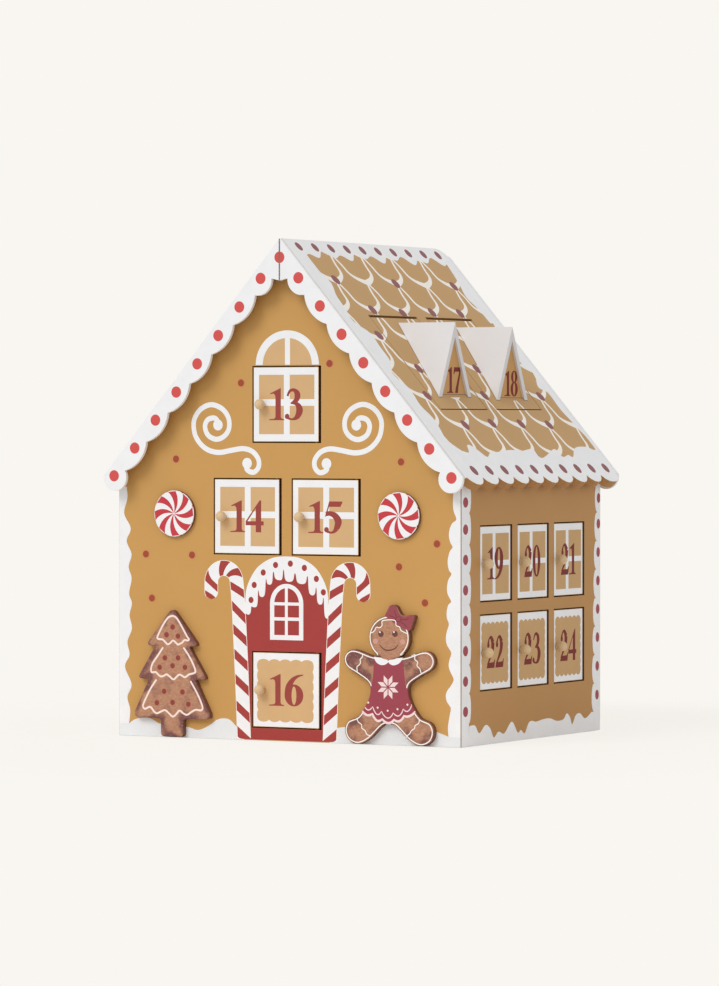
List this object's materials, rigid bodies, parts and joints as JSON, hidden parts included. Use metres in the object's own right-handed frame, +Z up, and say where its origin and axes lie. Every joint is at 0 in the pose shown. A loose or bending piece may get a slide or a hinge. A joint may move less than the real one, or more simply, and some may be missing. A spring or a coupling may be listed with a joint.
{
  "type": "advent calendar",
  "caption": "Wooden advent calendar shaped like a gingerbread house, with numbered hinged doors in its four walls, hinged hatches in the roof and a compartment behind each.",
  "frame": {"origin": "on the surface the house stands on, below the middle of its bounding box", "axes": "+X towards the wall with doors 19 to 24, -Y towards the gable wall with doors 13 to 16, +Z up"},
  "size_m": [0.3466, 0.2848, 0.4088],
  "materials": {
    "painted_board": "printed and painted fibreboard, satin",
    "iced_roof": "white printed fibreboard, satin",
    "bare_board": "bare fibreboard, matte",
    "beech": "turned beech, clear satin varnish",
    "cookie_brown": "printed fibreboard, satin",
    "red_paint": "printed fibreboard, satin"
  },
  "bodies": {
    "house": {"base_panel": "bare_board", "front_wall": "painted_board", "back_wall": "painted_board", "left_wall": "painted_board", "right_wall": "painted_board", "roof_panel_left": "iced_roof", "roof_panel_right": "iced_roof", "barge_board_front_left": "iced_roof", "barge_board_front_right": "iced_roof", "barge_board_rear": "iced_roof", "lower_rack": "bare_board", "attic_rack": "bare_board", "candy_disc_left": "red_paint", "candy_disc_right": "red_paint", "cookie_tree": "cookie_brown", "cookie_girl": "cookie_brown"},
    "door_1": {"door_1": "painted_board", "knob_1": "beech"},
    "door_2": {"door_2": "painted_board", "knob_2": "beech"},
    "door_3": {"door_3": "painted_board", "knob_3": "beech"},
    "door_4": {"door_4": "painted_board", "knob_4": "beech"},
    "door_7": {"door_7": "painted_board", "knob_7": "beech"},
    "door_8": {"door_8": "painted_board", "knob_8": "beech"},
    "door_9": {"door_9": "painted_board", "knob_9": "beech"},
    "door_10": {"door_10": "painted_board", "knob_10": "beech"},
    "door_11": {"door_11": "painted_board", "knob_11": "beech"},
    "door_12": {"door_12": "painted_board", "knob_12": "beech"},
    "door_13": {"door_13": "painted_board", "knob_13": "beech"},
    "door_14": {"door_14": "painted_board", "knob_14": "beech"},
    "door_15": {"door_15": "painted_board", "knob_15": "beech"},
    "door_16": {"door_16": "painted_board", "knob_16": "beech"},
    "door_19": {"door_19": "painted_board", "knob_19": "beech"},
    "door_20": {"door_20": "painted_board", "knob_20": "beech"},
    "door_21": {"door_21": "painted_board", "knob_21": "beech"},
    "door_22": {"door_22": "painted_board", "knob_22": "beech"},
    "door_23": {"door_23": "painted_board", "knob_23": "beech"},
    "door_24": {"door_24": "painted_board", "knob_24": "beech"},
    "hatch_5": {"hatch_5": "painted_board"},
    "hatch_6": {"hatch_6": "painted_board"},
    "hatch_17": {"hatch_17": "painted_board"},
    "hatch_18": {"hatch_18": "painted_board"}
  },
  "joints": [
    {"name": "door_1_hinge", "type": "hinge", "parent": "house", "child": "door_1", "pos_m": [-0.02665, 0.1193, 0.2742], "axis": [0, 0, 1], "range_deg": [0, 110]},
    {"name": "door_2_hinge", "type": "hinge", "parent": "house", "child": "door_2", "pos_m": [0.01015, 0.1193, 0.1827], "axis": [0, 0, 1], "range_deg": [0, 110]},
    {"name": "door_3_hinge", "type": "hinge", "parent": "house", "child": "door_3", "pos_m": [-0.06345, 0.1193, 0.1827], "axis": [0, 0, 1], "range_deg": [0, 110]},
    {"name": "door_4_hinge", "type": "hinge", "parent": "house", "child": "door_4", "pos_m": [-0.0271, 0.1193, 0.0415], "axis": [0, 0, 1], "range_deg": [0, 110]},
    {"name": "hatch_5_hinge", "type": "hinge", "parent": "house", "child": "hatch_5", "pos_m": [-0.05476, 0.04905, 0.34067], "axis": [0, 1, 0], "range_deg": [0, 90]},
    {"name": "hatch_6_hinge", "type": "hinge", "parent": "house", "child": "hatch_6", "pos_m": [-0.05476, -0.04955, 0.34067], "axis": [0, 1, 0], "range_deg": [0, 90]},
    {"name": "door_7_hinge", "type": "hinge", "parent": "house", "child": "door_7", "pos_m": [-0.15725, 0.0405, 0.14581], "axis": [0, 0, 1], "range_deg": [0, 110]},
    {"name": "door_8_hinge", "type": "hinge", "parent": "house", "child": "door_8", "pos_m": [-0.15725, -0.0257, 0.14581], "axis": [0, 0, 1], "range_deg": [0, 110]},
    {"name": "door_9_hinge", "type": "hinge", "parent": "house", "child": "door_9", "pos_m": [-0.15725, -0.0919, 0.14581], "axis": [0, 0, 1], "range_deg": [0, 110]},
    {"name": "door_10_hinge", "type": "hinge", "parent": "house", "child": "door_10", "pos_m": [-0.15725, 0.0405, 0.07411], "axis": [0, 0, 1], "range_deg": [0, 110]},
    {"name": "door_11_hinge", "type": "hinge", "parent": "house", "child": "door_11", "pos_m": [-0.15725, -0.0257, 0.07411], "axis": [0, 0, 1], "range_deg": [0, 110]},
    {"name": "door_12_hinge", "type": "hinge", "parent": "house", "child": "door_12", "pos_m": [-0.15725, -0.0919, 0.07411], "axis": [0, 0, 1], "range_deg": [0, 110]},
    {"name": "door_13_hinge", "type": "hinge", "parent": "house", "child": "door_13", "pos_m": [0.02665, -0.1278, 0.2742], "axis": [0, 0, 1], "range_deg": [0, 110]},
    {"name": "door_14_hinge", "type": "hinge", "parent": "house", "child": "door_14", "pos_m": [-0.01015, -0.1278, 0.1827], "axis": [0, 0, 1], "range_deg": [0, 110]},
    {"name": "door_15_hinge", "type": "hinge", "parent": "house", "child": "door_15", "pos_m": [0.06345, -0.1278, 0.1827], "axis": [0, 0, 1], "range_deg": [0, 110]},
    {"name": "door_16_hinge", "type": "hinge", "parent": "house", "child": "door_16", "pos_m": [0.0271, -0.1278, 0.0415], "axis": [0, 0, 1], "range_deg": [0, 110]},
    {"name": "hatch_17_hinge", "type": "hinge", "parent": "house", "child": "hatch_17", "pos_m": [0.05476, -0.04955, 0.34067], "axis": [0, -1, 0], "range_deg": [0, 90]},
    {"name": "hatch_18_hinge", "type": "hinge", "parent": "house", "child": "hatch_18", "pos_m": [0.05476, 0.04905, 0.34067], "axis": [0, -1, 0], "range_deg": [0, 90]},
    {"name": "door_19_hinge", "type": "hinge", "parent": "house", "child": "door_19", "pos_m": [0.15725, -0.0462, 0.14581], "axis": [0, 0, 1], "range_deg": [0, 110]},
    {"name": "door_20_hinge", "type": "hinge", "parent": "house", "child": "door_20", "pos_m": [0.15725, 0.02, 0.14581], "axis": [0, 0, 1], "range_deg": [0, 110]},
    {"name": "door_21_hinge", "type": "hinge", "parent": "house", "child": "door_21", "pos_m": [0.15725, 0.0862, 0.14581], "axis": [0, 0, 1], "range_deg": [0, 110]},
    {"name": "door_22_hinge", "type": "hinge", "parent": "house", "child": "door_22", "pos_m": [0.15725, -0.0462, 0.07411], "axis": [0, 0, 1], "range_deg": [0, 110]},
    {"name": "door_23_hinge", "type": "hinge", "parent": "house", "child": "door_23", "pos_m": [0.15725, 0.02, 0.07411], "axis": [0, 0, 1], "range_deg": [0, 110]},
    {"name": "door_24_hinge", "type": "hinge", "parent": "house", "child": "door_24", "pos_m": [0.15725, 0.0862, 0.07411], "axis": [0, 0, 1], "range_deg": [0, 110]}
  ]
}
